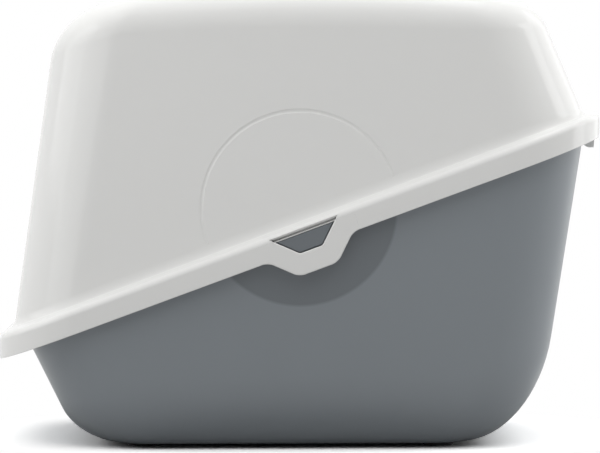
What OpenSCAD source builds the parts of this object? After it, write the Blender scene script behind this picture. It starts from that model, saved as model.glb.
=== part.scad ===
// Top entry litter box: a grey tray, a white hood hinged at the rear of a
// slanted rim, and a perforated entry deck set into the crowned roof.
// The front is at -X, the hinges are at +X, and the floor is at z = 0.

/* [Overall] */
// Length over the rim
body_l = 580; // [540:5:620]
// Width over the rim
body_w = 400; // [370:5:430]
// Height from the floor to the highest point of the roof
body_h = 440; // [415:5:470]
// Wall thickness of the two shells
wall = 3; // [2.4:0.2:4]

/* [Rim] */
// Rise of the rim toward the rear, in degrees
rim_angle = 20.3; // [18:0.1:22]
// Height of the hood's lower edge at mid length
rim_h = 192.5; // [185:0.5:200]
// Height of the skirt that hangs over the tray
skirt_h = 23; // [20:1:27]
// Corner radius of the skirt seen from above
skirt_r = 80; // [60:1:100]
// Width of the ledge between the skirt and the hood's wall
ledge_w = 14.2; // [12:0.2:17]
// Gap between the skirt and the tray's flange
flange_gap = 2; // [1:0.5:3]
// Thickness of the tray's flange
flange_t = 3.5; // [2.5:0.5:5]

/* [Hood] */
// Backward lean of the hood's front wall, in degrees
hood_front_lean = 7.6; // [4:0.2:10]
// Forward lean of the hood's rear wall, in degrees
hood_rear_lean = 22.5; // [18:0.5:26]
// Inward lean of the hood's side walls, in degrees
hood_side_lean = 4; // [2:0.5:6]
// Radius of the roof's crown along the length
crown_r = 2000; // [1500:50:3000]
// Corner radius of the roof seen from above
roof_r = 72; // [60:1:90]
// How far the roof's front edge is rounded
roof_front_blend = 54; // [40:1:60]
// How far the roof's rear edge is rounded
roof_rear_blend = 23; // [15:1:30]
// How far the roof's side edges are rounded
roof_side_blend = 30; // [20:1:36]
// Height of the flare at the foot of the front wall
front_flare = 18; // [12:1:24]
// Height of the flare at the foot of the rear wall
rear_flare = 8; // [5:1:12]
// Height of the flare at the foot of the side walls
side_flare = 13; // [8:1:16]

/* [Tray] */
// Forward lean of the tray's front wall, in degrees
tray_front_lean = 25.9; // [20:0.5:30]
// Backward lean of the tray's rear wall, in degrees
tray_rear_lean = 8.5; // [5:0.5:12]
// Outward lean of the tray's side walls, in degrees
tray_side_lean = 5; // [3:0.5:7]
// Distance from the skirt to the tray's front wall at the rim
tray_front_inset = 22.7; // [20:0.1:28]
// Distance from the skirt to the tray's rear wall at the rim
tray_rear_inset = 13.4; // [13:0.1:18]
// Distance from the skirt to the tray's side walls at the rim
tray_side_inset = 10; // [8:0.5:14]
// Corner radius of the tray seen from above
tray_r = 72; // [60:1:90]
// Rounding of the tray's lower front edge, along the floor
front_toe = 36; // [24:1:50]
// Rounding of the tray's lower front edge, up the wall
front_rise = 34; // [24:1:60]
// Rounding of the tray's lower rear edge, along the floor
rear_toe = 68; // [40:1:90]
// Rounding of the tray's lower rear edge, up the wall
rear_rise = 105; // [60:1:150]
// Rounding of the tray's lower side edges, along the floor
side_toe = 32; // [20:1:44]
// Rounding of the tray's lower side edges, up the wall
side_rise = 70; // [40:1:90]

/* [Entry deck] */
// Length of the deck's opening in the roof
deck_l = 360; // [340:2:368]
// Width of the deck's opening in the roof
deck_w = 244; // [220:2:250]
// Corner radius of the deck's opening
deck_r = 50; // [35:1:60]
// Distance of the opening's middle behind the middle of the rim
deck_x = 12; // [0:1:20]
// Depth of the ledge that the deck rests on, below the roof
deck_seat = 5.8; // [5:0.1:8]
// Width of the ledge that the deck rests on
deck_ledge = 10; // [7:0.5:12]
// Thickness of the deck
deck_t = 3; // [2.4:0.2:4]
// Clearance round the deck
deck_gap = 1; // [0.5:0.1:2]
// Diameter of the entry hole
entry_d = 204; // [180:2:210]
// Distance from the entry hole to the rear end of the deck
entry_margin = 18; // [16:1:30]
// Depth of the collar below the deck
collar_h = 14; // [8:1:24]
// Width of the collar's lip, which lies on the deck round the entry hole
lip_w = 4; // [3:0.5:6]
// Thickness of the collar's lip
lip_t = 1.6; // [1.2:0.1:2]
// Diameter of the litter holes in the landing
hole_d = 10; // [6:0.5:12]
// Spacing of the litter holes
hole_pitch = 18; // [16:0.5:24]
// Length of the finger hole that lifts the deck
grip_l = 64; // [50:2:80]
// Width of the finger hole
grip_w = 20; // [18:1:24]

/* [Side tabs] */
// Length of the tab along the skirt's lower edge
tab_l = 86; // [76:1:96]
// How far the tab hangs below the skirt
tab_drop = 22.4; // [18:0.2:26]
// Width of the band round the tab's window
tab_band = 20.4; // [18:0.2:22]
// Slope of the tab's two ends, in degrees from the rim
tab_slope = 43.7; // [35:0.1:55]
// Distance of the tabs behind the middle of the rim
tab_x = 11; // [-20:1:30]

/* [Rear hinges] */
// Diameter of the hinge pins
pin_d = 4; // [3:0.5:5]
// Distance of each hinge from the middle of the width
hinge_y = 90; // [60:1:110]
// Width of each of a clip's two hooks
hook_w = 6; // [5:0.5:8]
// Wall thickness of the hooks round their pin
clip_t = 2.2; // [2:0.1:2.6]
// Distance of the pins inside the rear of the skirt
pin_inset = 8; // [7:0.2:9]
// Distance of the pins below the skirt's lower edge
pin_drop = 3.8; // [2.5:0.1:5]
// Thickness of the ear that holds a pin
ear_t = 8; // [6:0.5:10]

/* [Feet] */
// Diameter of the rubber feet
foot_d = 30; // [20:1:40]
// Height of the tray's underside above the floor
foot_h = 4; // [3:0.5:6]

/* [Side disc] */
// Radius of the shallow disc moulded in the sides
disc_r = 94; // [80:1:100]
// Height of the disc's middle above the floor
disc_z = 232; // [225:0.5:240]
// Depth of the disc in the tray and of its outline in the hood
disc_depth = 0.6; // [0.3:0.1:1]
// Width of the outline in the hood
disc_line = 3; // [2:0.5:4]
// Distance of the disc's middle behind the middle of the rim
disc_x = 1; // [-10:1:10]

/* [Hidden] */

// Colours
white_pp = [0.86, 0.86, 0.85];
grey_pp = [0.43, 0.46, 0.49];
pin_grey = [0.36, 0.38, 0.40];
rubber = [0.08, 0.08, 0.09];

// Clearances
rest_gap = 0.3;
pin_gap = 0.08;
side_play = 0.8;
eps = 0.01;

// Segments of one corner, one long side, one end and one rounded edge
corner_n = 12;
side_n = 10;
end_n = 2;
edge_n = 8;
flare_n = 5;

// Rim planes: the hood's lower edge, its ledge, and the tray's top
rim_m = tan(rim_angle);
half_l = body_l / 2;
half_w = body_w / 2;
ridge_h = rim_h + skirt_h;
ridge_soft = 1.5;
seat_h = ridge_h - wall;
top_h = seat_h - rest_gap;

// Crowned roof
crown_x = 10;

function rim_z(x) = rim_h + rim_m * x;
function ridge_z(x) = ridge_h + rim_m * x;
function seat_z(x) = seat_h + rim_m * x;
function top_z(x) = top_h + rim_m * x;
function roof_z(x) = body_h - crown_r + sqrt(crown_r * crown_r - pow(x - crown_x, 2));
function mix(a, b, t) = a + (b - a) * t;

// A station is a place on a rounded rectangle: [stretch, share of it].
// Stretches 0, 2, 4 and 6 are the rear, left, front and right sides, and
// 1, 3, 5 and 7 are the corners after them.
stretch_n = [end_n, corner_n, side_n, corner_n, end_n, corner_n, side_n, corner_n];
stations = [for (k = [0:7]) for (i = [0:stretch_n[k] - 1]) [k, i / stretch_n[k]]];
station_n = len(stations);

// Point of a rounded rectangle that spans x0 to x1. Its half width is
// yf at the centres of the front corners and yr at those of the rear.
function outline(s, x0, x1, yf, yr, r) =
    let (k = s[0], t = s[1], a = 90 * t)
    k == 0 ? [x1, mix(r - yr, yr - r, t)] :
    k == 1 ? [x1 - r + r * cos(a), yr - r + r * sin(a)] :
    k == 2 ? [mix(x1 - r, x0 + r, t), mix(yr, yf, t)] :
    k == 3 ? [x0 + r - r * sin(a), yf - r + r * cos(a)] :
    k == 4 ? [x0, mix(yf - r, r - yf, t)] :
    k == 5 ? [x0 + r - r * cos(a), r - yf - r * sin(a)] :
    k == 6 ? [mix(x0 + r, x1 - r, t), -mix(yf, yr, t)] :
    [x1 - r + r * sin(a), r - yr - r * cos(a)];

// Value that differs on the front, rear and sides, blended in the corners
function by_side(s, front, rear, side) =
    let (k = s[0], t = s[1])
    k == 0 ? rear :
    k == 1 ? mix(rear, side, t) :
    k == 3 ? mix(side, front, t) :
    k == 4 ? front :
    k == 5 ? mix(front, side, t) :
    k == 7 ? mix(side, rear, t) :
    side;

// Points of a rounding from a to b about the corner c
function rounding(a, c, b, n) =
    [for (i = [0:n]) c + (a - c) * (1 - sin(90 * i / n)) + (b - c) * (1 - cos(90 * i / n))];

// Point on the line from c toward w, at the distance d
function along(c, w, d) = c + (w - c) * d / norm(w - c);

function at_z(p, z) = [p[0], p[1], z];

// Hood. Its side walls are flat and lean in by a fixed angle from the ridge.
lean_h = tan(hood_side_lean);
wall_x = half_l - ledge_w;
wall_y = half_w - ledge_w;
wall_r = skirt_r - ledge_w;

// Where the leaning front and rear walls meet the roof
roof_drop = 13;
roof_edge_h = body_h - roof_drop;
hood_f = -wall_x + (roof_edge_h - ridge_z(-wall_x)) * tan(hood_front_lean);
hood_b = wall_x - (roof_edge_h - ridge_z(wall_x)) * tan(hood_rear_lean);

function side_y(x) = wall_y - lean_h * (roof_z(x) - ridge_z(x));

// The flare widens the wall's foot
function flare(s) = by_side(s, front_flare, rear_flare, side_flare);

// Wall's foot and roof's corner at a station, moved inward by d
function hood_foot(s, d) =
    let (p = outline(s, d - wall_x, wall_x - d, wall_y - d, wall_y - d, wall_r - d))
    at_z(p, ridge_z(p[0]) - d);
function hood_corner(s, d) =
    let (
        x0 = hood_f + d,
        x1 = hood_b - d,
        yf = side_y(hood_f + roof_r) - d,
        yr = side_y(hood_b - roof_r) - d,
        p = outline(s, x0, x1, yf, yr, roof_r - d)
    )
    at_z(p, roof_z(p[0]) - d);
function roof_inner(s, d) =
    let (
        x0 = hood_f + roof_front_blend,
        x1 = hood_b - roof_rear_blend,
        yf = side_y(hood_f + roof_r) - roof_side_blend,
        yr = side_y(hood_b - roof_r) - roof_side_blend,
        p = outline(s, x0, x1, yf, yr, roof_r - roof_side_blend)
    )
    at_z(p, roof_z(p[0]) - d);
function deck_edge(s, d, z) =
    let (
        x0 = deck_x - deck_l / 2 + d,
        x1 = deck_x + deck_l / 2 - d,
        y = deck_w / 2 - d,
        p = outline(s, x0, x1, y, y, deck_r - d)
    )
    at_z(p, roof_z(p[0]) - z);
function skirt_edge(s, d) = outline(s, d - half_l, half_l - d, half_w - d, half_w - d, skirt_r - d);

// Section through the hood at a station, outside from the skirt to the
// deck's ledge, then back down the inside
function hood_section(s) =
    let (
        e0 = skirt_edge(s, 0),
        e1 = skirt_edge(s, ridge_soft),
        e2 = skirt_edge(s, wall),
        ft = hood_foot(s, 0),
        cr = hood_corner(s, 0),
        fi = hood_foot(s, wall),
        ci = hood_corner(s, wall),
        blend = by_side(s, roof_front_blend, roof_rear_blend, roof_side_blend)
    )
    concat(
        [at_z(e0, rim_z(e0[0])), at_z(e0, ridge_z(e0[0]) - ridge_soft)],
        rounding(at_z(e1, ridge_z(e1[0])), ft, along(ft, cr, flare(s)), flare_n),
        rounding(along(cr, ft, blend), cr, roof_inner(s, 0), edge_n),
        [
            deck_edge(s, 0, 0),
            deck_edge(s, 0, deck_seat),
            deck_edge(s, deck_ledge, deck_seat),
            deck_edge(s, deck_ledge, deck_seat + wall),
            deck_edge(s, -wall, deck_seat + wall),
            deck_edge(s, -wall, wall)
        ],
        rounding(roof_inner(s, wall), ci, along(ci, fi, blend - wall), edge_n),
        [fi, at_z(e2, seat_z(e2[0])), at_z(e2, rim_z(e2[0]))]
    );

// Tray. Its side walls are flat and lean in toward the floor.
lean_t = tan(tray_side_lean);
tray_f = tray_front_inset - half_l;
tray_b = half_l - tray_rear_inset;
tray_y = half_w - tray_side_inset;
tray_cf = tray_f + (top_z(tray_f) - foot_h) * tan(tray_front_lean);
tray_cb = tray_b - (top_z(tray_b) - foot_h) * tan(tray_rear_lean);
flange_in = wall + flange_gap;
flange_rear = 16;
flange_root = 1;

function floor_y(x) = tray_y - lean_t * (top_z(x) - foot_h);
function tray_top(s, d) =
    let (p = outline(s, tray_f + d, tray_b - d, tray_y - d, tray_y - d, tray_r - d))
    at_z(p, top_z(p[0]));
function tray_corner(s, d) =
    let (
        yf = floor_y(tray_cf + tray_r) - d,
        yr = floor_y(tray_cb - tray_r) - d,
        p = outline(s, tray_cf + d, tray_cb - d, yf, yr, tray_r - d)
    )
    at_z(p, foot_h + d);
function tray_floor(s, d) =
    let (
        yf = floor_y(tray_cf + tray_r) - side_toe,
        yr = floor_y(tray_cb - tray_r) - side_toe,
        p = outline(s, tray_cf + front_toe, tray_cb - rear_toe, yf, yr, tray_r - side_toe)
    )
    at_z(p, foot_h + d);
function flange_edge(s, z) =
    let (
        y = half_w - flange_in,
        p = outline(s, flange_in - half_l, half_l - flange_rear, y, y, skirt_r - flange_in)
    )
    at_z(p, top_z(p[0]) - z);

function tray_section(s) =
    let (
        to = tray_top(s, 0),
        co = tray_corner(s, 0),
        ti = tray_top(s, wall),
        ci = tray_corner(s, wall),
        rise = by_side(s, front_rise, rear_rise, side_rise)
    )
    concat(
        rounding(tray_floor(s, 0), co, along(co, to, rise), edge_n),
        [
            along(to, co, flange_t + flange_root),
            flange_edge(s, flange_t),
            flange_edge(s, 0),
            ti
        ],
        rounding(along(ci, ti, rise - wall), ci, tray_floor(s, wall), edge_n)
    );

// Closed surface through the sections. A ring of sections has no ends, and
// a cup is closed at both ends of its sections by a fan round their middle.
module loft(sections, cup) {
    n = len(sections);
    m = len(sections[0]);
    last = cup ? m - 2 : m - 1;
    middle = [for (j = [0, m - 1]) [0, 0, sections[0][j][2]]];
    sides = [
        for (i = [0:n - 1]) for (j = [0:last])
        let (a = i * m, b = ((i + 1) % n) * m, k = (j + 1) % m)
        each [[a + j, b + k, b + j], [a + j, a + k, b + k]]
    ];
    fans = [
        for (i = [0:n - 1])
        let (a = i * m, b = ((i + 1) % n) * m)
        each [[a, b, n * m], [b + m - 1, a + m - 1, n * m + 1]]
    ];
    polyhedron(
        points = cup ? concat([for (s = sections) each s], middle) : [for (s = sections) each s],
        faces = cup ? concat(sides, fans) : sides,
        convexity = 10
    );
}

// Place on the rim's lower edge at the tabs, with x along the rim
module at_tab() {
    translate([tab_x, 0, rim_z(tab_x)])
        rotate([0, -rim_angle, 0])
            children();
}

// Plate in the plane of the side at -Y, between two distances from the middle
module side_plate(points, y_in, y_out) {
    translate([0, -y_in, 0])
        rotate([90, 0, 0])
            linear_extrude(y_out - y_in)
                polygon(points);
}

// The same shape on both sides
module both_sides() {
    children();
    mirror([0, 1, 0])
        children();
}

// Outline of a polygon with its corners rounded by the given lengths
function rounded(points, lengths) =
    let (n = len(points))
    [
        for (i = [0:n - 1])
        let (c = points[i], d = lengths[i], a = points[(i + n - 1) % n], b = points[(i + 1) % n])
        each (d == 0 ? [c] : rounding(along(c, a, d), c, along(c, b, d), corner_n / 2))
    ];

// Side tab, in rim coordinates: a band that hangs below the skirt round a
// window, which is open at the top where the hood's ledge closes it
rim_cos = cos(rim_angle);
tab_run = 1 / tan(tab_slope);
tab_half = tab_l / 2;
tab_foot = tab_half - tab_drop * tab_run;
tab_round = 6;
tab_land = 1;
tab_end = tab_half + tab_round + tab_land;
window_round = 2;
slot_top = (skirt_h - ridge_soft) * rim_cos;
tab_top = slot_top - rest_gap;
window_low = tab_band - tab_drop;
window_mid = tab_half - tab_band / sin(tab_slope);

function window_half(v) = window_mid + v * tab_run;

tab_outline = rounded(
    [
        [-tab_end, tab_top],
        [-tab_end, 0],
        [-tab_half, 0],
        [-tab_foot, -tab_drop],
        [tab_foot, -tab_drop],
        [tab_half, 0],
        [tab_end, 0],
        [tab_end, tab_top],
        [window_half(tab_top), tab_top],
        [window_half(window_low), window_low],
        [-window_half(window_low), window_low],
        [-window_half(tab_top), tab_top]
    ],
    [0, 0, tab_round, tab_round, tab_round, tab_round, 0, 0, 0, window_round, window_round, 0]
);

module side_tab() {
    at_tab()
        side_plate(tab_outline, half_w - wall, half_w);
}

module tab_slot() {
    low = -skirt_h;
    end = tab_end + rest_gap;
    at_tab()
        side_plate(
            [[-end, low], [end, low], [end, slot_top], [-end, slot_top]],
            half_w - wall - rest_gap,
            half_w + wall
        );
}

// Catch on the tray that stands behind the tab's window
lug_top = (top_h - flange_t - rim_h) * rim_cos;
lug_low = window_low + side_play;

module catch_lug() {
    at_tab()
        side_plate(
            [
                [-window_half(lug_low) + side_play, lug_low],
                [window_half(lug_low) - side_play, lug_low],
                [window_half(lug_top) - side_play, lug_top],
                [-window_half(lug_top) + side_play, lug_top]
            ],
            tray_y - wall,
            half_w - wall - rest_gap
        );
}

// Notch in the flange over the catch, which bares it to the window
notch_bite = 0.5;

module catch_notch() {
    end = window_half(slot_top) + side_play;
    high = skirt_h * 2;
    at_tab()
        side_plate(
            [[-end, lug_top], [end, lug_top], [end, high], [-end, high]],
            tray_y - notch_bite,
            half_w
        );
}

// Points a cylinder's axis along the outward normal of a side wall at -Y
// that leans by k per millimetre of height above the rim
module on_side(y, z0, k, x, z) {
    n = [-k * rim_m, -1, k];
    translate([x, -y + k * (z - z0 - rim_m * x), z])
        rotate([0, acos(n[2] / norm(n)), atan2(n[1], n[0])])
            children();
}

fine = 96;
crown_fine = 720;
hole_fine = 24;

// The outline of the disc stops above the hood's flare
module disc_groove() {
    intersection() {
        on_side(wall_y, ridge_h, lean_h, disc_x, disc_z)
            difference() {
                translate([0, 0, -disc_depth])
                    cylinder(r = disc_r + disc_line / 2, h = wall, $fn = fine);
                translate([0, 0, -wall])
                    cylinder(r = disc_r - disc_line / 2, h = 3 * wall, $fn = fine);
            }
        translate([disc_x, 0, ridge_z(disc_x) + side_flare + disc_line])
            rotate([0, -rim_angle, 0])
                translate([-2 * disc_r, -half_w, 0])
                    cube([4 * disc_r, body_w, 2 * disc_r]);
    }
}

// Lip under the hood's ledge that closes the top of the window from behind
window_lip_t = 3;

module window_lip() {
    end = window_half(slot_top);
    low = lug_top + rest_gap;
    high = (seat_h + wall / 2 - rim_h) * rim_cos;
    y_out = half_w - wall - 2 * rest_gap;
    at_tab()
        side_plate([[-end, low], [end, low], [end, high], [-end, high]], y_out - window_lip_t, y_out);
}

module disc_recess() {
    on_side(tray_y, top_h, -lean_t, disc_x, disc_z)
        translate([0, 0, -disc_depth])
            cylinder(r = disc_r, h = wall * 2, $fn = fine);
}

// Rear hinges
pin_r = pin_d / 2;
pin_x = half_l - pin_inset;
pin_z = rim_z(pin_x) - pin_drop;
ear_gap = 0.5;
ear_wall = 2;
ear_r = pin_r + ear_wall;
ear_above = 12;
ear_root = 1;
arm_t = pin_inset - wall - rest_gap - 1.2;
arm_out = half_l - wall - rest_gap;
arm_in = arm_out - arm_t;
clip_foot_t = 2;
clip_foot_in = half_l - flange_rear + rest_gap;
clip_half = ear_t / 2 + ear_gap + hook_w;

function tray_rear_x(z) = tray_b - (top_z(tray_b) - z) * tan(tray_rear_lean);

// Shape in the plane of the side, at a hinge, between two distances across
module across(y0, y1) {
    translate([0, y1, 0])
        rotate([90, 0, 0])
            linear_extrude(y1 - y0)
                children();
}

module round_pin(r, y0, y1) {
    across(y0, y1)
        translate([pin_x, pin_z])
            circle(r = r, $fn = fine);
}

// Ear that reaches back from the tray's rear wall, above the hooks' foot
module ear(y) {
    high = pin_z + ear_above;
    low = pin_z + ear_root;
    difference() {
        union() {
            across(y - ear_t / 2, y + ear_t / 2)
                polygon([
                    [tray_rear_x(high) - wall / 2, high],
                    [tray_rear_x(low) - wall / 2, low],
                    [pin_x - ear_r, pin_z],
                    [pin_x, pin_z + ear_r]
                ]);
            round_pin(ear_r, y - ear_t / 2, y + ear_t / 2);
        }
        round_pin(pin_r, y - ear_t / 2 - eps, y + ear_t / 2 + eps);
    }
}

// The hook's mouth is a little narrower than the pin, so that it snaps on
hook_snap = 0.6;
hook_mouth = pin_d - hook_snap;
hook_r = pin_r + clip_t;
hook_reach = 2 * hook_r;
cheek_t = 1.2;

// Hook that wraps the pin from behind. A thin cheek closes it on the side
// away from the ear, which is at +Y where side is 1.
module hook(y, side) {
    y0 = y - hook_w / 2 + (side < 0 ? cheek_t : -eps);
    y1 = y + hook_w / 2 - (side > 0 ? cheek_t : -eps);
    difference() {
        union() {
            round_pin(hook_r, y - hook_w / 2, y + hook_w / 2);
            across(y - hook_w / 2, y + hook_w / 2)
                polygon([
                    [pin_x, pin_z - hook_r],
                    [pin_x + hook_r, pin_z - hook_r],
                    [arm_out, pin_z],
                    [arm_out, seat_z(arm_out) - clip_foot_t / 2],
                    [arm_in, seat_z(arm_in) - clip_foot_t / 2],
                    [arm_in, pin_z]
                ]);
        }
        round_pin(pin_r + pin_gap, y0, y1);
        translate([pin_x, y0, pin_z])
            rotate([0, 45, 0])
                translate([-hook_reach, 0, -hook_mouth / 2])
                    cube([hook_reach, y1 - y0, hook_mouth]);
    }
}

// Two hooks on a foot that hangs from the hood's ledge, one on each side of
// the ear
module hinge_clip(y) {
    color(white_pp) {
        across(y - clip_half, y + clip_half)
            polygon([
                [arm_out, seat_z(arm_out)],
                [clip_foot_in, seat_z(clip_foot_in)],
                [clip_foot_in, seat_z(clip_foot_in) - clip_foot_t],
                [arm_out, seat_z(arm_out) - clip_foot_t]
            ]);
        for (side = [-1, 1])
            hook(y + side * (clip_half - hook_w / 2), side);
    }
}

module hinge_pin(y) {
    reach = clip_half - cheek_t - rest_gap;
    color(pin_grey) round_pin(pin_r, y - reach, y + reach);
}

// Feet, seated in shallow sockets
foot_seat = 0.8;
foot_gap = 0.1;
foot_land = 12;
foot_edge = foot_d / 2 + foot_land;
foot_front_x = tray_cf + front_toe + foot_edge;
foot_rear_x = tray_cb - rear_toe - foot_edge;
foot_y = floor_y(foot_rear_x) - side_toe - foot_edge;

module foot(x, y) {
    color(rubber)
        translate([x, y, 0])
            cylinder(d = foot_d, h = foot_h + foot_seat, $fn = fine);
}

module foot_socket(x, y) {
    translate([x, y, foot_h])
        cylinder(r = foot_d / 2 + foot_gap, h = foot_seat, $fn = fine);
}

// Upright solid with rounded corners that spans x0 to x1
module slab(x0, x1, y, r, z, h) {
    translate([0, 0, z]) {
        translate([x0 + r, -y, 0])
            cube([x1 - x0 - 2 * r, 2 * y, h]);
        translate([x0, r - y, 0])
            cube([x1 - x0, 2 * (y - r), h]);
        for (x = [x0 + r, x1 - r])
            for (s = [-1, 1])
                translate([x, s * (y - r), 0])
                    cylinder(r = r, h = h, $fn = fine);
    }
}

// Solid below the crowned roof, d under its surface
module under_crown(d) {
    translate([crown_x, deck_w, body_h - crown_r])
        rotate([90, 0, 0])
            cylinder(r = crown_r - d, h = 2 * deck_w, $fn = crown_fine);
}

deck_top = deck_seat - rest_gap - deck_t;
deck_x0 = deck_x - deck_l / 2 + deck_gap;
deck_x1 = deck_x + deck_l / 2 - deck_gap;
deck_y = deck_w / 2 - deck_gap;
entry_x = deck_x1 - entry_margin - entry_d / 2;
cut_depth = 60;
cut_low = body_h - cut_depth;
cut_h = 100;
grip_land = 4;
grip_x0 = deck_x0 + deck_ledge + grip_land;
land_gap = 8;
land_x0 = grip_x0 + grip_w + land_gap + hole_d / 2;
land_y = deck_y - deck_ledge - hole_d / 2;
collar_r = entry_d / 2 + deck_t;
land_clear = collar_r + hole_d;

// Litter holes of the landing, in staggered columns up to the entry hole
module litter_holes() {
    rows = floor(land_y / hole_pitch);
    columns = ceil((entry_x - land_x0) / hole_pitch);
    for (i = [0:columns])
        for (j = [-rows:rows - i % 2])
            let (x = land_x0 + i * hole_pitch, y = (j + (i % 2) / 2) * hole_pitch)
            if (norm([x - entry_x, y]) > land_clear && abs(y) < land_y)
                translate([x, y, cut_low])
                    cylinder(d = hole_d, h = cut_h, $fn = hole_fine);
}

module entry_deck() {
    color(white_pp)
        difference() {
            intersection() {
                slab(deck_x0, deck_x1, deck_y, deck_r - deck_gap, cut_low, cut_h);
                under_crown(deck_top);
            }
            under_crown(deck_top + deck_t);
            translate([entry_x, 0, cut_low])
                cylinder(r = collar_r, h = cut_h, $fn = fine);
            slab(grip_x0, grip_x0 + grip_w, grip_l / 2, grip_w / 2 - eps, cut_low, cut_h);
            litter_holes();
        }
}

// Collar round the entry hole, pressed into the deck down to its lip
module entry_collar() {
    low = roof_z(deck_x1) - deck_seat - collar_h;
    color(white_pp)
        difference() {
            union() {
                intersection() {
                    translate([entry_x, 0, low])
                        cylinder(r = collar_r, h = cut_h, $fn = fine);
                    under_crown(deck_top - lip_t);
                }
                difference() {
                    intersection() {
                        translate([entry_x, 0, cut_low])
                            cylinder(r = collar_r + lip_w, h = cut_h, $fn = fine);
                        under_crown(deck_top - lip_t);
                    }
                    under_crown(deck_top);
                }
            }
            translate([entry_x, 0, cut_low])
                cylinder(d = entry_d, h = cut_h, $fn = fine);
        }
}

module base_tray() {
    color(grey_pp) {
        difference() {
            loft([for (s = stations) tray_section(s)], true);
            both_sides() {
                disc_recess();
                catch_notch();
            }
            for (s = [-1, 1]) {
                foot_socket(foot_front_x, s * foot_y);
                foot_socket(foot_rear_x, s * foot_y);
            }
        }
        both_sides() {
            catch_lug();
            ear(hinge_y);
        }
    }
}

module hood_shell() {
    color(white_pp) {
        difference() {
            loft([for (s = stations) hood_section(s)], false);
            both_sides() {
                tab_slot();
                disc_groove();
            }
        }
        both_sides()
            window_lip();
    }
}

module side_tab_right() {
    color(white_pp) side_tab();
}

module side_tab_left() {
    color(white_pp)
        mirror([0, 1, 0])
            side_tab();
}

module hinge_clip_left() hinge_clip(hinge_y);
module hinge_clip_right() hinge_clip(-hinge_y);
module hinge_pin_left() hinge_pin(hinge_y);
module hinge_pin_right() hinge_pin(-hinge_y);
module foot_front_left() foot(foot_front_x, foot_y);
module foot_front_right() foot(foot_front_x, -foot_y);
module foot_rear_left() foot(foot_rear_x, foot_y);
module foot_rear_right() foot(foot_rear_x, -foot_y);

base_tray();
hood_shell();
entry_deck();
entry_collar();
side_tab_left();
side_tab_right();
hinge_clip_left();
hinge_clip_right();
hinge_pin_left();
hinge_pin_right();
foot_front_left();
foot_front_right();
foot_rear_left();
foot_rear_right();
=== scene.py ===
import math

import bpy
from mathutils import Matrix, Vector


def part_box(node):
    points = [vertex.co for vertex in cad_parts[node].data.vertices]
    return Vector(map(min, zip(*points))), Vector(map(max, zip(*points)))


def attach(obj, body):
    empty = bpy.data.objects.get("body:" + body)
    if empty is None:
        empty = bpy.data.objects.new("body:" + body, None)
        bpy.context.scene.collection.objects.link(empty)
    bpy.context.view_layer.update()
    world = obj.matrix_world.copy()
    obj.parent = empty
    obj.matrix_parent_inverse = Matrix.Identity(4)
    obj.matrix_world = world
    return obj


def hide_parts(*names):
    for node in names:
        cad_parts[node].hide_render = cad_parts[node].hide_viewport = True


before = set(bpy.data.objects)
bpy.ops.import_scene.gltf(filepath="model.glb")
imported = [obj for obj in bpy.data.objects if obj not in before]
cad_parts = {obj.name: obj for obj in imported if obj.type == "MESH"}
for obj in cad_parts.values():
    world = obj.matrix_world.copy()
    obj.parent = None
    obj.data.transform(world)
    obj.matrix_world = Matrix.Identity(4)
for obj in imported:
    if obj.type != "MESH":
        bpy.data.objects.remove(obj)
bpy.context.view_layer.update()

mm = 0.001


# Camera
# A little below the roof's height, 3.76 m from the middle of the box on its
# right side, with a long lens tilted slightly down.
camera_y, camera_z = -3.76, 0.382
camera_tilt = 2.663
camera_data = bpy.data.cameras.new("camera")
camera_data.lens = 226
camera_data.sensor_width = 36
camera_data.shift_x = 0.0017
camera_data.clip_start = 0.1
camera_data.clip_end = 60
camera = bpy.data.objects.new("camera", camera_data)
camera.location = (0, camera_y, camera_z)
camera.rotation_euler = (math.radians(90 - camera_tilt), 0, 0)
bpy.context.scene.collection.objects.link(camera)
bpy.context.scene.camera = camera


# Tray
# The grey lower half, injection moulded in polypropylene. It has one wall
# all round, wide roundings down to a flat bottom, and a flange at the
# slanted rim that stiffens it and carries the hood.
rim_angle = 20.3
slope = math.tan(math.radians(rim_angle))
half_length, half_width = 290, 200
rim_height, skirt_height = 192.5, 23
wall = 3
tray_top = rim_height + skirt_height - wall - 0.3
tray_foot = 4
tray_front, tray_rear, tray_side = -267.3, 276.6, 190
tray_radius = 72
tray_side_lean = math.tan(math.radians(5))


def mix(a, b, t):
    return a + (b - a) * t


def stations(corner, side, end):
    """Places round a rounded rectangle, from the rear: (stretch, share of the stretch)."""
    counts = [end, corner, side, corner] * 2
    return [(k, i / n) for k, n in enumerate(counts) for i in range(n)]


def outline(place, x0, x1, front, rear, r):
    """Point on a rounded rectangle from x0 to x1 that is 2 * front wide ahead and 2 * rear behind."""
    k, t = place
    c, s = math.cos(math.pi / 2 * t), math.sin(math.pi / 2 * t)
    return [
        (x1, mix(r - rear, rear - r, t)),
        (x1 - r + r * c, rear - r + r * s),
        (mix(x1 - r, x0 + r, t), mix(rear, front, t)),
        (x0 + r - r * s, front - r + r * c),
        (x0, mix(front - r, r - front, t)),
        (x0 + r - r * c, r - front - r * s),
        (mix(x0 + r, x1 - r, t), -mix(front, rear, t)),
        (x1 - r + r * s, r - rear - r * c),
    ][k]


def by_side(place, front, rear, side):
    """A size that differs on the front, the rear and the sides, blended in the corners."""
    k, t = place
    return [
        rear,
        mix(rear, side, t),
        side,
        mix(side, front, t),
        front,
        mix(front, side, t),
        side,
        mix(side, rear, t),
    ][k]


def rounding(a, corner, b, n):
    """Points of an elliptical rounding from a to b."""
    turn = [math.pi / 2 * i / n for i in range(n + 1)]
    return [corner + (a - corner) * (1 - math.sin(t)) + (b - corner) * (1 - math.cos(t)) for t in turn]


def toward(a, b, distance):
    return a + (b - a).normalized() * distance


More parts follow.
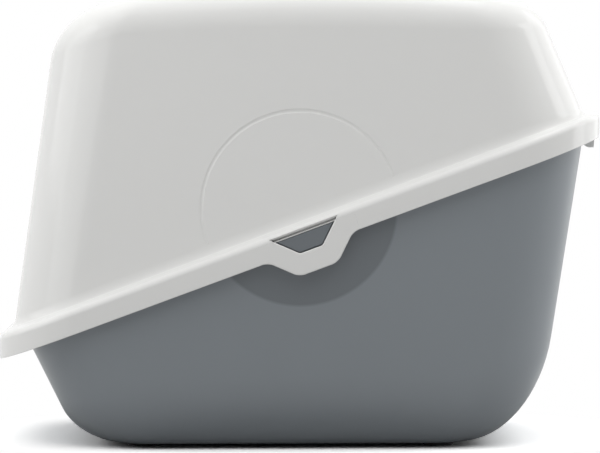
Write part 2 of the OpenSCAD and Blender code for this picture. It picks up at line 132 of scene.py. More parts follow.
def smooth(piece, angle=35):
    """Rounds the shading except across sharper edges, and keeps large flat faces flat."""
    bpy.ops.object.select_all(action="DESELECT")
    piece.select_set(True)
    bpy.context.view_layer.objects.active = piece
    bpy.ops.object.shade_smooth_by_angle(angle=math.radians(angle))
    flat = piece.modifiers.new("flat", "WEIGHTED_NORMAL")
    flat.keep_sharp = True
    bpy.ops.object.modifier_apply(modifier=flat.name)


def form_shell(name, sections):
    """A ring of edges, extruded level by level and laid on the lines of the sections."""
    around, levels = len(sections), len(sections[0])
    rise = 0.01
    bpy.ops.object.select_all(action="DESELECT")
    bpy.ops.mesh.primitive_circle_add(vertices=around, radius=1)
    shell = bpy.context.object
    shell.name = name
    bpy.ops.object.mode_set(mode="EDIT")
    for _ in range(levels - 1):
        bpy.ops.mesh.extrude_region_move(TRANSFORM_OT_translate={"value": (0, 0, rise)})
    bpy.ops.object.mode_set(mode="OBJECT")
    first = shell.data.vertices[0].co
    start = math.atan2(first.y, first.x)
    for vertex in shell.data.vertices:
        turn = (math.atan2(vertex.co.y, vertex.co.x) - start) / math.tau
        i, j = round(turn * around) % around, round(vertex.co.z / rise)
        vertex.co = sections[i][j] * mm
    bpy.ops.object.mode_set(mode="EDIT")
    bpy.ops.mesh.select_all(action="SELECT")
    bpy.ops.mesh.remove_doubles(threshold=1e-6)
    bpy.ops.mesh.normals_make_consistent(inside=False)
    bpy.ops.object.mode_set(mode="OBJECT")
    return shell


def finish_modifier(piece, modifier):
    bpy.ops.object.select_all(action="DESELECT")
    piece.select_set(True)
    bpy.context.view_layer.objects.active = piece
    bpy.ops.object.modifier_apply(modifier=modifier.name)


def combine(piece, other, operation):
    """Cuts or adds a shape, which is then thrown away."""
    change = piece.modifiers.new("combine", "BOOLEAN")
    change.operation = operation
    change.solver = "EXACT"
    change.object = other
    finish_modifier(piece, change)
    bpy.data.objects.remove(other)


def soften(piece, width, segments=3, angle=38):
    """Rounds the edges that are sharper than the angle."""
    edge = piece.modifiers.new("soften", "BEVEL")
    edge.width = width * mm
    edge.segments = segments
    edge.limit_method = "ANGLE"
    edge.angle_limit = math.radians(angle)
    edge.use_clamp_overlap = True
    finish_modifier(piece, edge)


def mirrored(piece):
    """Adds the same shape on the other side of the box."""
    twin = piece.modifiers.new("twin", "MIRROR")
    twin.use_axis = (False, True, False)
    twin.use_mirror_merge = False
    finish_modifier(piece, twin)


def settle(piece):
    """Puts the piece's place into its mesh."""
    bpy.ops.object.select_all(action="DESELECT")
    piece.select_set(True)
    bpy.context.view_layer.objects.active = piece
    bpy.ops.object.transform_apply(location=True, rotation=True, scale=True)


def plate(name, points, thickness):
    """A flat outline in the X-Z plane, extruded toward +Y by its thickness."""
    n = len(points)
    bpy.ops.object.select_all(action="DESELECT")
    bpy.ops.mesh.primitive_circle_add(vertices=n, radius=1, fill_type="NGON")
    piece = bpy.context.object
    piece.name = name
    first = piece.data.vertices[0].co
    start = math.atan2(first.y, first.x)
    for vertex in piece.data.vertices:
        i = round((math.atan2(vertex.co.y, vertex.co.x) - start) / math.tau * n) % n
        vertex.co = Vector((points[i][0], 0, points[i][1])) * mm
    bpy.ops.object.mode_set(mode="EDIT")
    bpy.ops.mesh.select_all(action="SELECT")
    bpy.ops.mesh.extrude_region_move(TRANSFORM_OT_translate={"value": (0, thickness * mm, 0)})
    bpy.ops.mesh.select_all(action="SELECT")
    bpy.ops.mesh.normals_make_consistent(inside=False)
    bpy.ops.object.mode_set(mode="OBJECT")
    return piece


def place_on_rim(piece, x, y):
    """Moves a plate drawn along the rim to its place on the slanted rim."""
    piece.rotation_euler = (0, math.radians(-rim_angle), 0)
    piece.location = Vector((x, y, rim_height + slope * x)) * mm
    settle(piece)


def place_on_side(piece, x, z, y_foot, z_foot, lean):
    """Turns a shape's Z axis to the outward normal of the right side wall and puts it there."""
    normal = Vector((-lean * slope, -1, lean))
    piece.rotation_mode = "QUATERNION"
    piece.rotation_quaternion = normal.to_track_quat("Z", "Y")
    piece.location = Vector((x, -y_foot + lean * (z - z_foot - slope * x), z)) * mm
    settle(piece)


def top_z(x):
    return tray_top + slope * x


tray_front_lean, tray_rear_lean = math.tan(math.radians(25.9)), math.tan(math.radians(8.5))
floor_front = tray_front + (top_z(tray_front) - tray_foot) * tray_front_lean
floor_rear = tray_rear - (top_z(tray_rear) - tray_foot) * tray_rear_lean


def floor_side(x):
    return tray_side - tray_side_lean * (top_z(x) - tray_foot)


def tray_section(place):
    """Points of the tray's wall at a place: outside from the floor's middle to the flange, and back."""
    side_front, side_rear = floor_side(floor_front + tray_radius), floor_side(floor_rear - tray_radius)

    def top(d):
        x, y = outline(place, tray_front + d, tray_rear - d, tray_side - d, tray_side - d, tray_radius - d)
        return Vector((x, y, top_z(x)))

    def corner(d):
        x, y = outline(
            place, floor_front + d, floor_rear - d, side_front - d, side_rear - d, tray_radius - d
        )
        return Vector((x, y, tray_foot + d))

    def floor(d):
        front, rear, side = 36, 68, 32
        x, y = outline(
            place,
            floor_front + front,
            floor_rear - rear,
            side_front - side,
            side_rear - side,
            tray_radius - side,
        )
        return Vector((x, y, tray_foot + d))

    def flange(drop):
        inset, rear_inset = 5, 16
        edge = half_width - inset
        x, y = outline(place, inset - half_length, half_length - rear_inset, edge, edge, 75)
        return Vector((x, y, top_z(x) - drop))

    rise = by_side(place, 34, 105, 70)
    flange_t, steps = 3.5, 16
    return (
        [Vector((0, 0, tray_foot))]
        + rounding(floor(0), corner(0), toward(corner(0), top(0), rise), steps)
        + rounding(
            toward(top(0), corner(0), flange_t + 4),
            toward(top(0), corner(0), flange_t),
            toward(toward(top(0), corner(0), flange_t), flange(flange_t), 3),
            4,
        )
        + [flange(flange_t), flange(0), top(wall)]
        + rounding(toward(corner(wall), top(wall), rise - wall), corner(wall), floor(wall), steps)
        + [Vector((0, 0, tray_foot + wall))]
    )


tray = form_shell("tray", [tray_section(place) for place in stations(24, 20, 6)])
soften(tray, 0.8)

# A large shallow disc is moulded in each side, with a soft edge.
disc_radius, disc_x, disc_z = 94, 1, 232
bpy.ops.object.select_all(action="DESELECT")
bpy.ops.mesh.primitive_cone_add(
    vertices=144,
    radius1=(disc_radius - 3) * mm,
    radius2=(disc_radius + 12) * mm,
    depth=3 * mm,
    location=(0, 0, 0.9 * mm),
)
recess = bpy.context.object
settle(recess)
place_on_side(recess, disc_x, disc_z, tray_side, tray_top, -tray_side_lean)
mirrored(recess)
combine(tray, recess, "DIFFERENCE")

# The catches stand behind the windows of the side tabs, over a bared stretch
# of the flange. The ears behind the rear wall hold the hinge pins.
tab_x = 11
rim_cos = math.cos(math.radians(rim_angle))
tab_slant = math.radians(43.7)
tab_run = 1 / math.tan(tab_slant)
tab_half, tab_drop, tab_band = 43, 22.4, 20.4
window_low = tab_band - tab_drop
window_mid = tab_half - tab_band / math.sin(tab_slant)


def window_half(v):
    return window_mid + v * tab_run


lug_top = (tray_top - 3.5 - rim_height) * rim_cos
lug_low = window_low + 0.8
notch = plate("notch", [(-35, lug_top), (35, lug_top), (35, 46), (-35, 46)], 10.5)
place_on_rim(notch, tab_x, -half_width)
mirrored(notch)
combine(tray, notch, "DIFFERENCE")

catch = plate(
    "catch",
    [
        (0.8 - window_half(lug_low), lug_low),
        (window_half(lug_low) - 0.8, lug_low),
        (window_half(lug_top) - 0.8, lug_top),
        (0.8 - window_half(lug_top), lug_top),
    ],
    9.7,
)
soften(catch, 0.6)
place_on_rim(catch, tab_x, 0.3 + wall - half_width)
mirrored(catch)
combine(tray, catch, "UNION")

pin_x = half_length - 8
pin_z = rim_height + slope * pin_x - 3.8
hinge_y = 90


def rear_wall_x(z):
    return tray_rear - (top_z(tray_rear) - z) * tray_rear_lean


ear_radius, ear_thickness = 4, 8
round_end = [
    (pin_x + ear_radius * math.cos(math.radians(a)), pin_z + ear_radius * math.sin(math.radians(a)))
    for a in range(-180, 91, 15)
]
high, low = pin_z + 12, pin_z + 1
ear_root = [(rear_wall_x(high) - 1.5, high), (rear_wall_x(low) - 1.5, low)]
ear = plate("ear", round_end + ear_root, ear_thickness)
soften(ear, 0.5)
ear.location.y = (hinge_y - ear_thickness / 2) * mm
settle(ear)
mirrored(ear)
combine(tray, ear, "UNION")

smooth(tray)
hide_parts("base_tray")
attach(tray, "base")


def shader_node(tree, kind, x, y, **sockets):
    """A shader node with values set on its named inputs."""
    node = tree.nodes.new(kind)
    node.location = (x, y)
    for socket, value in sockets.items():
        node.inputs[socket.replace("_", " ")].default_value = value
    return node


def calculate(tree, operation, a, b, x, y, clamp=False):
    """A maths node. A number is set on its socket, anything else is linked to it."""
    node = tree.nodes.new("ShaderNodeMath")
    node.operation = operation
    node.use_clamp = clamp
    node.location = (x, y)
    for socket, value in zip(node.inputs, (a, b)):
        if isinstance(value, (int, float)):
            socket.default_value = value
        elif value is not None:
            tree.links.new(value, socket)
    return node.outputs[0]


# Moulded plastic has a fine orange peel, faint flow marks in its tone and
# small rubbed patches in its sheen.
grain = bpy.data.node_groups.new("moulded_grain", "ShaderNodeTree")
for socket, default in (("Sheen", 0.3), ("Rub", 0.05), ("Tone", 0.03)):
    made = grain.interface.new_socket(name=socket, in_out="INPUT", socket_type="NodeSocketFloat")
    made.default_value = default
for socket in ("Tone", "Roughness", "Height"):
    grain.interface.new_socket(name=socket, in_out="OUTPUT", socket_type="NodeSocketFloat")
source = shader_node(grain, "NodeGroupInput", -1000, 0)
result = shader_node(grain, "NodeGroupOutput", 600, 0)
place = shader_node(grain, "ShaderNodeTexCoord", -1000, -300)
peel = shader_node(grain, "ShaderNodeTexNoise", -600, -500, Scale=420, Detail=3, Roughness=0.55)
flow = shader_node(grain, "ShaderNodeTexNoise", -600, 0, Scale=5, Detail=4, Roughness=0.5, Distortion=0.8)
rubbed = shader_node(grain, "ShaderNodeTexNoise", -600, -250, Scale=38, Detail=6, Roughness=0.65)
for texture in (peel, flow, rubbed):
    grain.links.new(place.outputs["Object"], texture.inputs["Vector"])
tone = calculate(grain, "SUBTRACT", flow.outputs["Fac"], 0.5, -350, 100)
tone = calculate(grain, "MULTIPLY", tone, source.outputs["Tone"], -150, 100)
tone = calculate(grain, "ADD", tone, 1, 50, 100)
patch = calculate(grain, "SUBTRACT", rubbed.outputs["Fac"], 0.5, -350, -200)
patch = calculate(grain, "MULTIPLY", patch, source.outputs["Rub"], -150, -200)
patch = calculate(grain, "ADD", patch, source.outputs["Sheen"], 50, -200)
grain.links.new(tone, result.inputs["Tone"])
grain.links.new(patch, result.inputs["Roughness"])
grain.links.new(peel.outputs["Fac"], result.inputs["Height"])


def moulded(name, colour, sheen, rub, tone, depth):
    """Polypropylene with the moulded grain: the material, its tree, its shader and its toned colour."""
    material = bpy.data.materials.new(name)
    material.use_nodes = True
    tree = material.node_tree
    shader = tree.nodes["Principled BSDF"]
    shader.inputs["IOR"].default_value = 1.49
    surface = tree.nodes.new("ShaderNodeGroup")
    surface.node_tree = grain
    surface.location = (-700, 0)
    surface.inputs["Sheen"].default_value = sheen
    surface.inputs["Rub"].default_value = rub
    surface.inputs["Tone"].default_value = tone
    bump = shader_node(tree, "ShaderNodeBump", -300, -300, Strength=0.5, Distance=depth * mm)
    tree.links.new(surface.outputs["Height"], bump.inputs["Height"])
    tree.links.new(bump.outputs["Normal"], shader.inputs["Normal"])
    tree.links.new(surface.outputs["Roughness"], shader.inputs["Roughness"])
    shade = shader_node(tree, "ShaderNodeMix", -300, 200)
    shade.data_type = "RGBA"
    shade.blend_type = "MULTIPLY"
    shade.inputs["Factor"].default_value = 1
    shade.inputs[6].default_value = (*colour, 1)
    tree.links.new(surface.outputs["Tone"], shade.inputs[7])
    tree.links.new(shade.outputs[2], shader.inputs["Base Color"])
    return material, tree, shader, shade


# Painted shade: on the outer faces the disc's base colour is multiplied down. It stands in for the dimmer
# look of its finer, smoother surface.
tray_grey = (0.226, 0.25, 0.27)
grey_plastic, tree, shader, shade = moulded("grey_polypropylene", tray_grey, 0.34, 0.08, 0.05, 0.05)
where = shader_node(tree, "ShaderNodeTexCoord", -1500, 500)
axes = shader_node(tree, "ShaderNodeSeparateXYZ", -1300, 500)
tree.links.new(where.outputs["Object"], axes.inputs[0])
across = calculate(tree, "SUBTRACT", axes.outputs["X"], disc_x * mm, -1100, 600)
up = calculate(tree, "SUBTRACT", axes.outputs["Z"], disc_z * mm, -1100, 450)
across_squared = calculate(tree, "POWER", across, 2, -950, 600)
up_squared = calculate(tree, "POWER", up, 2, -950, 450)
squares = calculate(tree, "ADD", across_squared, up_squared, -800, 500)
away = calculate(tree, "SQRT", squares, None, -650, 500)
# inside is the mask of the disc's painted shade, softened over 3 mm at its edge.
inside = calculate(tree, "SUBTRACT", (disc_radius - 0.5) * mm, away, -500, 500)
inside = calculate(tree, "DIVIDE", inside, 3 * mm, -350, 500, clamp=True)
outer = calculate(tree, "ABSOLUTE", axes.outputs["Y"], None, -650, 650)
outer = calculate(tree, "GREATER_THAN", outer, 0.15, -500, 650)
inside = calculate(tree, "MULTIPLY", inside, outer, -200, 550)
# This multiply paints the shade onto the disc.
painted_disc_shade = shader_node(tree, "ShaderNodeMix", -100, 200)
painted_disc_shade.data_type = "RGBA"
painted_disc_shade.blend_type = "MULTIPLY"
painted_disc_shade.inputs[7].default_value = (0.66, 0.665, 0.67, 1)
tree.links.new(inside, painted_disc_shade.inputs["Factor"])
tree.links.new(shade.outputs[2], painted_disc_shade.inputs[6])
tree.links.new(painted_disc_shade.outputs[2], shader.inputs["Base Color"])
tray.data.materials.clear()
tray.data.materials.append(grey_plastic)


# Hood
# The white upper half, injection moulded in polypropylene. A skirt hangs
# over the tray's rim, and its crowned roof has a sunk ledge for the deck.
ledge, ridge = 14.2, 5
skirt_radius = 80
hood_side_lean = math.tan(math.radians(4))
roof_height, crown_radius, crown_x = 440, 2000, 10
roof_edge = roof_height - 13
roof_radius = 72
wall_x, wall_y, wall_radius = half_length - ledge, half_width - ledge, skirt_radius - ledge


def ridge_z(x):
    return rim_height + skirt_height + slope * x


def rim_z(x):
    return rim_height + slope * x


def roof_z(x):
    return roof_height - crown_radius + math.sqrt(crown_radius**2 - (x - crown_x) ** 2)


hood_front_lean, hood_rear_lean = math.tan(math.radians(7.6)), math.tan(math.radians(22.5))
hood_front = -wall_x + (roof_edge - ridge_z(-wall_x)) * hood_front_lean
hood_rear = wall_x - (roof_edge - ridge_z(wall_x)) * hood_rear_lean


def hood_side(x):
    return wall_y - hood_side_lean * (roof_z(x) - ridge_z(x))


def hood_section(place):
    """Points of the hood's wall at a place: outside from the skirt to the deck's ledge, and back inside."""
    side_front, side_rear = hood_side(hood_front + roof_radius), hood_side(hood_rear - roof_radius)

    def skirt(d):
        return outline(
            place, d - half_length, half_length - d, half_width - d, half_width - d, skirt_radius - d
        )

    def at(xy, height):
        return Vector((*xy, height(xy[0])))

    def foot(d):
        x, y = outline(place, d - wall_x, wall_x - d, wall_y - d, wall_y - d, wall_radius - d)
        return Vector((x, y, ridge_z(x) - d))

    def corner(d):
        x, y = outline(
            place, hood_front + d, hood_rear - d, side_front - d, side_rear - d, roof_radius - d
        )
        return Vector((x, y, roof_z(x) - d))

    def roof(d):
        front, rear, side = 54, 23, 25
        x, y = outline(
            place,
            hood_front + front,
            hood_rear - rear,
            side_front - side,
            side_rear - side,
            roof_radius - side,
        )
        return Vector((x, y, roof_z(x) - d))

    def deck(d, drop):
        x, y = outline(place, -168 + d, 192 - d, 122 - d, 122 - d, 50 - d)
        return Vector((x, y, roof_z(x) - drop))

    blend = by_side(place, 54, 23, 35)
    flare = by_side(place, 7, 6, 10)
    edge = at(skirt(0), ridge_z)
    rise = (corner(0).z - foot(0).z) / by_side(place, 4, 4, 5.5)
    ledge_end = foot(0) + (corner(0) - foot(0)) / rise
    seat, seat_width, steps = 5.8, 10, 16
    return (
        [at(skirt(0), rim_z)]
        + rounding(at(skirt(0), lambda x: ridge_z(x) - ridge), edge, toward(edge, ledge_end, ridge), 8)
        + rounding(toward(ledge_end, edge, 4), ledge_end, toward(ledge_end, corner(0), flare), 10)
        + rounding(toward(corner(0), foot(0), blend), corner(0), roof(0), steps)
        + [deck(0, 0), deck(0, seat), deck(seat_width, seat), deck(seat_width, seat + wall)]
        + [deck(-wall, seat + wall), deck(-wall, wall)]
        + rounding(roof(wall), corner(wall), toward(corner(wall), foot(wall), blend - wall), steps)
        + [foot(wall), at(skirt(wall), lambda x: ridge_z(x) - wall)]
        + [at(skirt(wall), rim_z), at(skirt(0), rim_z)]
    )


hood = form_shell("hood", [hood_section(place) for place in stations(24, 20, 6)])
soften(hood, 0.9)

# The skirt is cut away where each side tab sits.
tab_top = (skirt_height - ridge) * rim_cos
tab_end = tab_half + 7
slot_gap = 0.02
slot = plate(
    "slot",
    [
        (-tab_end - slot_gap, -20),
        (tab_end + slot_gap, -20),
        (tab_end + slot_gap, tab_top + slot_gap),
        (-tab_end - slot_gap, tab_top + slot_gap),
    ],
    6.3,
)
place_on_rim(slot, tab_x, -half_width - 3)
mirrored(slot)
combine(hood, slot, "DIFFERENCE")

# The window goes on up into the hood, and ends just under the ledge.
window_top = (skirt_height - 1.5) * rim_cos
gap_low, gap_high = window_half(tab_top - 1), window_half(window_top)
brow = plate(
    "brow",
    [(-gap_low, tab_top - 1), (gap_low, tab_top - 1), (gap_high, window_top), (-gap_high, window_top)],
    6.3,
)
place_on_rim(brow, tab_x, -half_width - 3)
mirrored(brow)
combine(hood, brow, "DIFFERENCE")

# A lip behind it closes the window's top. Its lower edge stands forward.
lip_low, lip_step, lip_high, lip_half = lug_top + 0.3, lug_top + 1.5, window_top + 0.5, window_half(tab_top)
for low, high, inset, thickness in ((lip_low, lip_step, 0.6, 6), (lip_step - 0.3, lip_high, 5.6, 1)):
    lip = plate("lip", [(-lip_half, low), (lip_half, low), (lip_half, high), (-lip_half, high)], thickness)
    soften(lip, 0.3)
    place_on_rim(lip, tab_x, inset + wall - half_width)
    mirrored(lip)
    combine(hood, lip, "UNION")

# The outline of the tray's disc goes on over the hood as a fine groove.
groove_width, groove_depth = 3.4, 0.45
groove_radius = (groove_width**2 / 4 + groove_depth**2) / (2 * groove_depth)
bpy.ops.object.select_all(action="DESELECT")
bpy.ops.mesh.primitive_torus_add(
    major_radius=disc_radius * mm,
    minor_radius=groove_radius * mm,
    major_segments=144,
    minor_segments=56,
    location=(0, 0, (groove_radius - groove_depth) * mm),
)
groove = bpy.context.object
settle(groove)
place_on_side(groove, disc_x, disc_z, wall_y, ridge_z(0), hood_side_lean)
bpy.ops.object.mode_set(mode="EDIT")
bpy.ops.mesh.select_all(action="SELECT")
bpy.ops.mesh.bisect(
    plane_co=Vector((0, 0, ridge_z(0) + 15)) * mm,
    plane_no=(-slope, 0, 1),
    use_fill=True,
    clear_inner=True,
)
bpy.ops.object.mode_set(mode="OBJECT")
mirrored(groove)
combine(hood, groove, "DIFFERENCE")
smooth(hood)
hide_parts("hood_shell")
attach(hood, "hood")

hood_white = (0.78, 0.78, 0.766)
white_plastic = moulded("white_polypropylene", hood_white, 0.12, 0.04, 0.02, 0.015)[0]
hood.data.materials.clear()
hood.data.materials.append(white_plastic)


# Side tabs
# A springy band in the middle of each side of the skirt, moulded with the
# hood. It hangs round a window and snaps under the tray's catch.


def rounded(points, lengths, n):
    """An outline with each of its corners rounded by its own length."""
    line = []
    for i, (point, length) in enumerate(zip(points, lengths)):
        here, before, after = Vector(point), Vector(points[i - 1]), Vector(points[(i + 1) % len(points)])
        if length:
            line += rounding(toward(here, before, length), here, toward(here, after, length), n)
        else:
            line.append(here)
    return line


tab_foot = tab_half - tab_drop * tab_run
tab_outline = rounded(
    [
        (-tab_end, tab_top),
        (-tab_end, 0),
        (-tab_half, 0),
        (-tab_foot, -tab_drop),
        (tab_foot, -tab_drop),
        (tab_half, 0),
        (tab_end, 0),
        (tab_end, tab_top),
        (window_half(tab_top), tab_top),
        (window_half(window_low), window_low),
        (-window_half(window_low), window_low),
        (-window_half(tab_top), tab_top),
    ],
    [0, 0, 6, 6, 6, 6, 0, 0, 0, 2, 2, 0],
    8,
)

for side, name in ((1, "right"), (-1, "left")):
    tab = plate("tab_" + name, tab_outline, wall)
    edge = tab.modifiers.new("edge", "BEVEL")
    edge.width = 1.4 * mm
    edge.segments = 4
    edge.limit_method = "WEIGHT"
    weight = tab.data.attributes.new("bevel_weight_edge", "FLOAT", "EDGE")
    for i, line in enumerate(tab.data.edges):
        a, b = (tab.data.vertices[v].co for v in line.vertices)
        flat = abs(a.y - b.y) < 1e-6
        free = not (min(a.z, b.z) > (tab_top - 0.1) * mm or min(abs(a.x), abs(b.x)) > (tab_end - 0.1) * mm)
        weight.data[i].value = 1.0 if flat and free else 0.0
    finish_modifier(tab, edge)
    place_on_rim(tab, tab_x, -half_width)
    if side < 0:
        bpy.ops.object.select_all(action="DESELECT")
        tab.select_set(True)
        bpy.context.view_layer.objects.active = tab
        tab.scale.y = -1
        settle(tab)
        bpy.ops.object.mode_set(mode="EDIT")
        bpy.ops.mesh.select_all(action="SELECT")
        bpy.ops.mesh.normals_make_consistent(inside=False)
        bpy.ops.object.mode_set(mode="OBJECT")
    smooth(tab)
    tab.data.materials.append(white_plastic)
    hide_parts("side_tab_" + name)
    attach(tab, "tab_" + name)


# Entry deck
# A lift-out panel of white polypropylene, sunk in the roof. The cat enters
# through its collared hole and leaves its litter in the holes of the landing.
deck_top, deck_thickness = 2.5, 3
deck_front, deck_rear, deck_side, deck_radius = -167, 191, 121, 49
entry_x, entry_radius = 71, 102
collar_radius = entry_radius + 3
cut_low, cut_high = roof_height - 60, roof_height + 40


def round_bar(x, y, radius, low, high, vertices):
    bpy.ops.object.select_all(action="DESELECT")
    bpy.ops.mesh.primitive_cylinder_add(
        vertices=vertices,
        radius=radius * mm,
        depth=(high - low) * mm,
        location=Vector((x, y, (low + high) / 2)) * mm,
    )
    bar = bpy.context.object
    settle(bar)
    return bar


def join(pieces):
    bpy.ops.object.select_all(action="DESELECT")
    for piece in pieces:
        piece.select_set(True)
    bpy.context.view_layer.objects.active = pieces[0]
    bpy.ops.object.join()
    return bpy.context.object


def lying(name, points, thickness, top):
    """A plate that lies flat, with its upper face at a height."""
    piece = plate(name, points, thickness)
    piece.rotation_euler.x = math.radians(-90)
    piece.location.z = top * mm
    settle(piece)
    return piece


def crowned(piece, x0, x1):
    """Bends a flat piece to the crown of the roof."""
    bpy.context.view_layer.objects.active = piece
    for x in range(x0, x1, 12):
        bpy.ops.object.mode_set(mode="EDIT")
        bpy.ops.mesh.select_all(action="SELECT")
        bpy.ops.mesh.bisect(plane_co=(x * mm, 0, 0), plane_no=(1, 0, 0))
        bpy.ops.object.mode_set(mode="OBJECT")
    for vertex in piece.data.vertices:
        vertex.co.z += (roof_z(vertex.co.x / mm) - roof_height) * mm


deck_outline = [
    outline(place, deck_front, deck_rear, deck_side, deck_side, deck_radius) for place in stations(14, 2, 2)
]
deck = lying("deck", deck_outline, deck_thickness, roof_height - deck_top)
holes = [round_bar(entry_x, 0, collar_radius, cut_low, cut_high, 96)]
pitch, hole_radius = 18, 5
landing_x, landing_side = -120, 106
for i in range(12):
    for j in range(-5, 6 - i % 2):
        x, y = landing_x + i * pitch, (j + (i % 2) / 2) * pitch
        if math.hypot(x - entry_x, y) > collar_radius + 2 * hole_radius and abs(y) < landing_side:
            holes.append(round_bar(x, y, hole_radius, cut_low, cut_high, 24))
combine(deck, join(holes), "DIFFERENCE")
grip_x, grip_half, grip_radius = -143, 22, 10
grip_end = grip_half + grip_radius
grip_outline = [
    outline(place, grip_x - grip_radius, grip_x + grip_radius, grip_end, grip_end, 9.9)
    for place in stations(8, 2, 1)
]
grip = lying("grip", grip_outline, cut_high - cut_low, cut_high)
combine(deck, grip, "DIFFERENCE")
soften(deck, 0.7, segments=2)
crowned(deck, deck_front + 12, deck_rear)
smooth(deck)
deck.data.materials.append(white_plastic)
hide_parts("entry_deck")
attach(deck, "deck")

# The collar is a ring with a lip, pressed into the deck.
lip_width, lip_thickness, collar_low = 4, 1.6, 27
collar = round_bar(entry_x, 0, collar_radius, roof_height - collar_low, roof_height - deck_top - 0.4, 128)
lip_base = roof_height - deck_top
lip = round_bar(entry_x, 0, collar_radius + lip_width, lip_base, lip_base + lip_thickness, 128)
combine(collar, lip, "UNION")
combine(collar, round_bar(entry_x, 0, entry_radius, cut_low, cut_high, 128), "DIFFERENCE")
collar.name = "collar"
soften(collar, 0.7)
crowned(collar, entry_x - 108, entry_x + 109)
smooth(collar)
collar.data.materials.append(white_plastic)
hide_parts("entry_collar")
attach(collar, "deck")


# Hinge clips and pins
# Two white hooks under the rear of the hood snap over short grey pins that
# the tray's ears hold.
pin_plastic = moulded("pin_polypropylene", (0.12, 0.135, 0.15), 0.32, 0.06, 0.04, 0.03)[0]
for name in ("hinge_clip_left", "hinge_clip_right"):
    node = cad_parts[name]
    node.data.materials.clear()
    node.data.materials.append(white_plastic)
for name in ("hinge_pin_left", "hinge_pin_right"):
    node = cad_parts[name]
    node.data.materials.clear()
    node.data.materials.append(pin_plastic)


# Feet
# Four round rubber pads, pressed into shallow sockets under the tray.
foot_rubber = moulded("foot_rubber", (0.012, 0.012, 0.013), 0.7, 0.15, 0.1, 0.08)[0]
for name in ("foot_front_left", "foot_front_right", "foot_rear_left", "foot_rear_right"):
    low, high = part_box(name)
    middle = (Vector(low) + Vector(high)) / 2
    foot = round_bar(middle.x / mm, middle.y / mm, 15, 0, tray_foot + 0.8, 48)
    foot.name = "pad_" + name[5:]
    soften(foot, 0.9)
    smooth(foot)
    foot.data.materials.append(foot_rubber)
    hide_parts(name)
    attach(foot, "base")


# Floor and light
# A white sweep under soft boxes: two overhead, one on the left that draws
# the bright band down the front corner, two on the right toward the rear,
# and a wide one in front. The floor looks brighter than the light it returns.
floor_tone, side_tone, seen_tone = 0.5, 0.7, 1.5
bpy.ops.object.select_all(action="DESELECT")
bpy.ops.mesh.primitive_plane_add(size=40, location=(0, 0, 0))
floor = bpy.context.object
floor.name = "floor"
floor_white = bpy.data.materials.new("floor_white")
floor_white.use_nodes = True
tree = floor_white.node_tree
tree.nodes.clear()
output = shader_node(tree, "ShaderNodeOutputMaterial", 600, 0)
lit = shader_node(tree, "ShaderNodeBsdfDiffuse", 0, 0)
glow = shader_node(tree, "ShaderNodeEmission", 0, -200, Color=(1, 1, 1, 1), Strength=1)
ray = shader_node(tree, "ShaderNodeLightPath", -600, 300)
where = shader_node(tree, "ShaderNodeTexCoord", -1200, 0)
oval = shader_node(tree, "ShaderNodeMapping", -1000, 0)
oval.inputs["Scale"].default_value = (1.6, 2.2, 1)
away = shader_node(tree, "ShaderNodeVectorMath", -800, 0)
away.operation = "LENGTH"
tree.links.new(where.outputs["Object"], oval.inputs["Vector"])
tree.links.new(oval.outputs["Vector"], away.inputs[0])
fade = calculate(tree, "SUBTRACT", away.outputs["Value"], 0.42, -600, 0)
fade = calculate(tree, "DIVIDE", fade, 0.16, -450, 0, clamp=True)
clear = calculate(tree, "MAXIMUM", ray.outputs["Is Camera Ray"], ray.outputs["Is Glossy Ray"], -450, 150)
seen = calculate(tree, "MULTIPLY", fade, clear, -300, 100)
blend = shader_node(tree, "ShaderNodeMixShader", 300, 0)
axes = shader_node(tree, "ShaderNodeSeparateXYZ", -1000, 600)
tree.links.new(where.outputs["Object"], axes.inputs[0])
aside = calculate(tree, "ABSOLUTE", axes.outputs["X"], None, -850, 600)
aside = calculate(tree, "SUBTRACT", aside, 0.3, -700, 600)
aside = calculate(tree, "DIVIDE", aside, 0.4, -550, 600, clamp=True)
aside = calculate(tree, "MULTIPLY", aside, side_tone - floor_tone, -400, 600)
bright = calculate(tree, "MULTIPLY", ray.outputs["Is Camera Ray"], seen_tone - floor_tone, -400, 300)
bright = calculate(tree, "ADD", bright, aside, -250, 400)
bright = calculate(tree, "ADD", bright, floor_tone, -100, 400)
tree.links.new(bright, lit.inputs["Color"])
tree.links.new(seen, blend.inputs[0])
tree.links.new(lit.outputs[0], blend.inputs[1])
tree.links.new(glow.outputs[0], blend.inputs[2])
tree.links.new(blend.outputs[0], output.inputs["Surface"])
floor.data.materials.append(floor_white)

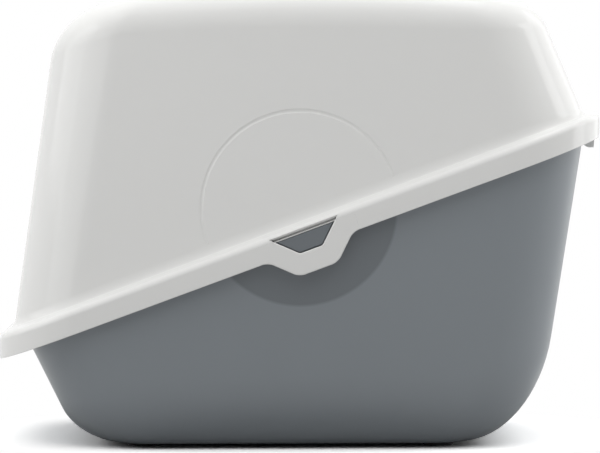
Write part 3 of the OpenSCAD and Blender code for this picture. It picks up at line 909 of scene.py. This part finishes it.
# The room is white above and behind the box, and dark in front of it.
above_level, back_level = 1.42, 0.45
world = bpy.data.worlds.new("studio")
bpy.context.scene.world = world
world.use_nodes = True
tree = world.node_tree
tree.nodes.clear()
output = shader_node(tree, "ShaderNodeOutputWorld", 400, 0)
room = shader_node(tree, "ShaderNodeBackground", 0, 0, Color=(1, 1, 1, 1))
where = shader_node(tree, "ShaderNodeTexCoord", -1200, 0)
axes = shader_node(tree, "ShaderNodeSeparateXYZ", -1000, 0)
tree.links.new(where.outputs["Generated"], axes.inputs[0])
behind = calculate(tree, "ADD", axes.outputs["Y"], 0.1, -850, -100)
behind = calculate(tree, "DIVIDE", behind, 0.4, -700, -100, clamp=True)
level = calculate(tree, "MULTIPLY", behind, back_level, -550, -100)
above = calculate(tree, "SUBTRACT", axes.outputs["Z"], 0.35, -850, 100)
above = calculate(tree, "DIVIDE", above, 0.4, -700, 100, clamp=True)
extra = calculate(tree, "SUBTRACT", above_level, level, -400, 100)
extra = calculate(tree, "MULTIPLY", extra, above, -250, 100)
level = calculate(tree, "ADD", level, extra, -100, 0)
tree.links.new(level, room.inputs["Strength"])
white = shader_node(tree, "ShaderNodeBackground", 0, -200, Color=(1, 1, 1, 1), Strength=1)
ray = shader_node(tree, "ShaderNodeLightPath", -300, 200)
clear = calculate(tree, "MAXIMUM", ray.outputs["Is Camera Ray"], ray.outputs["Is Glossy Ray"], -100, 200)
pick = shader_node(tree, "ShaderNodeMixShader", 200, 0)
tree.links.new(clear, pick.inputs[0])
tree.links.new(room.outputs[0], pick.inputs[1])
tree.links.new(white.outputs[0], pick.inputs[2])
tree.links.new(pick.outputs[0], output.inputs["Surface"])


def soft_box(name, place, aim, wide, high, strength):
    """An area lamp turned to its aim. The strength is the level of its own surface, where 1 is white."""
    lamp = bpy.data.lights.new(name, "AREA")
    lamp.shape = "RECTANGLE"
    lamp.size, lamp.size_y = wide, high
    lamp.energy = strength * math.pi * wide * high
    holder = bpy.data.objects.new(name, lamp)
    holder.location = place
    holder.rotation_euler = (Vector(aim) - Vector(place)).to_track_quat("-Z", "Y").to_euler()
    bpy.context.scene.collection.objects.link(holder)
    return holder


soft_box("overhead", (0, -0.2, 2.2), (0, 0, 0), 2.4, 2.0, 0.5)
soft_box("top spot", (0.2, 0, 2.0), (0, 0, 0), 1.0, 0.8, 1.0)
soft_box("left", (-1.73, -0.18, 1.25), (-0.24, -0.15, 1.25), 1.15, 1.5, 1.05)
soft_box("right", (1.72, -0.05, 0.75), (0.22, -0.1, 0.75), 0.6, 1.5, 1.9)
soft_box("rear", (1.42, 0.8, 0.75), (0.22, -0.1, 0.75), 1.2, 1.5, 0.7)
soft_box("fill", (-2.4, -2.2, 1.0), (0, -0.2, 0.25), 2.6, 1.8, 0.7)

bpy.context.scene.view_settings.view_transform = "Standard"
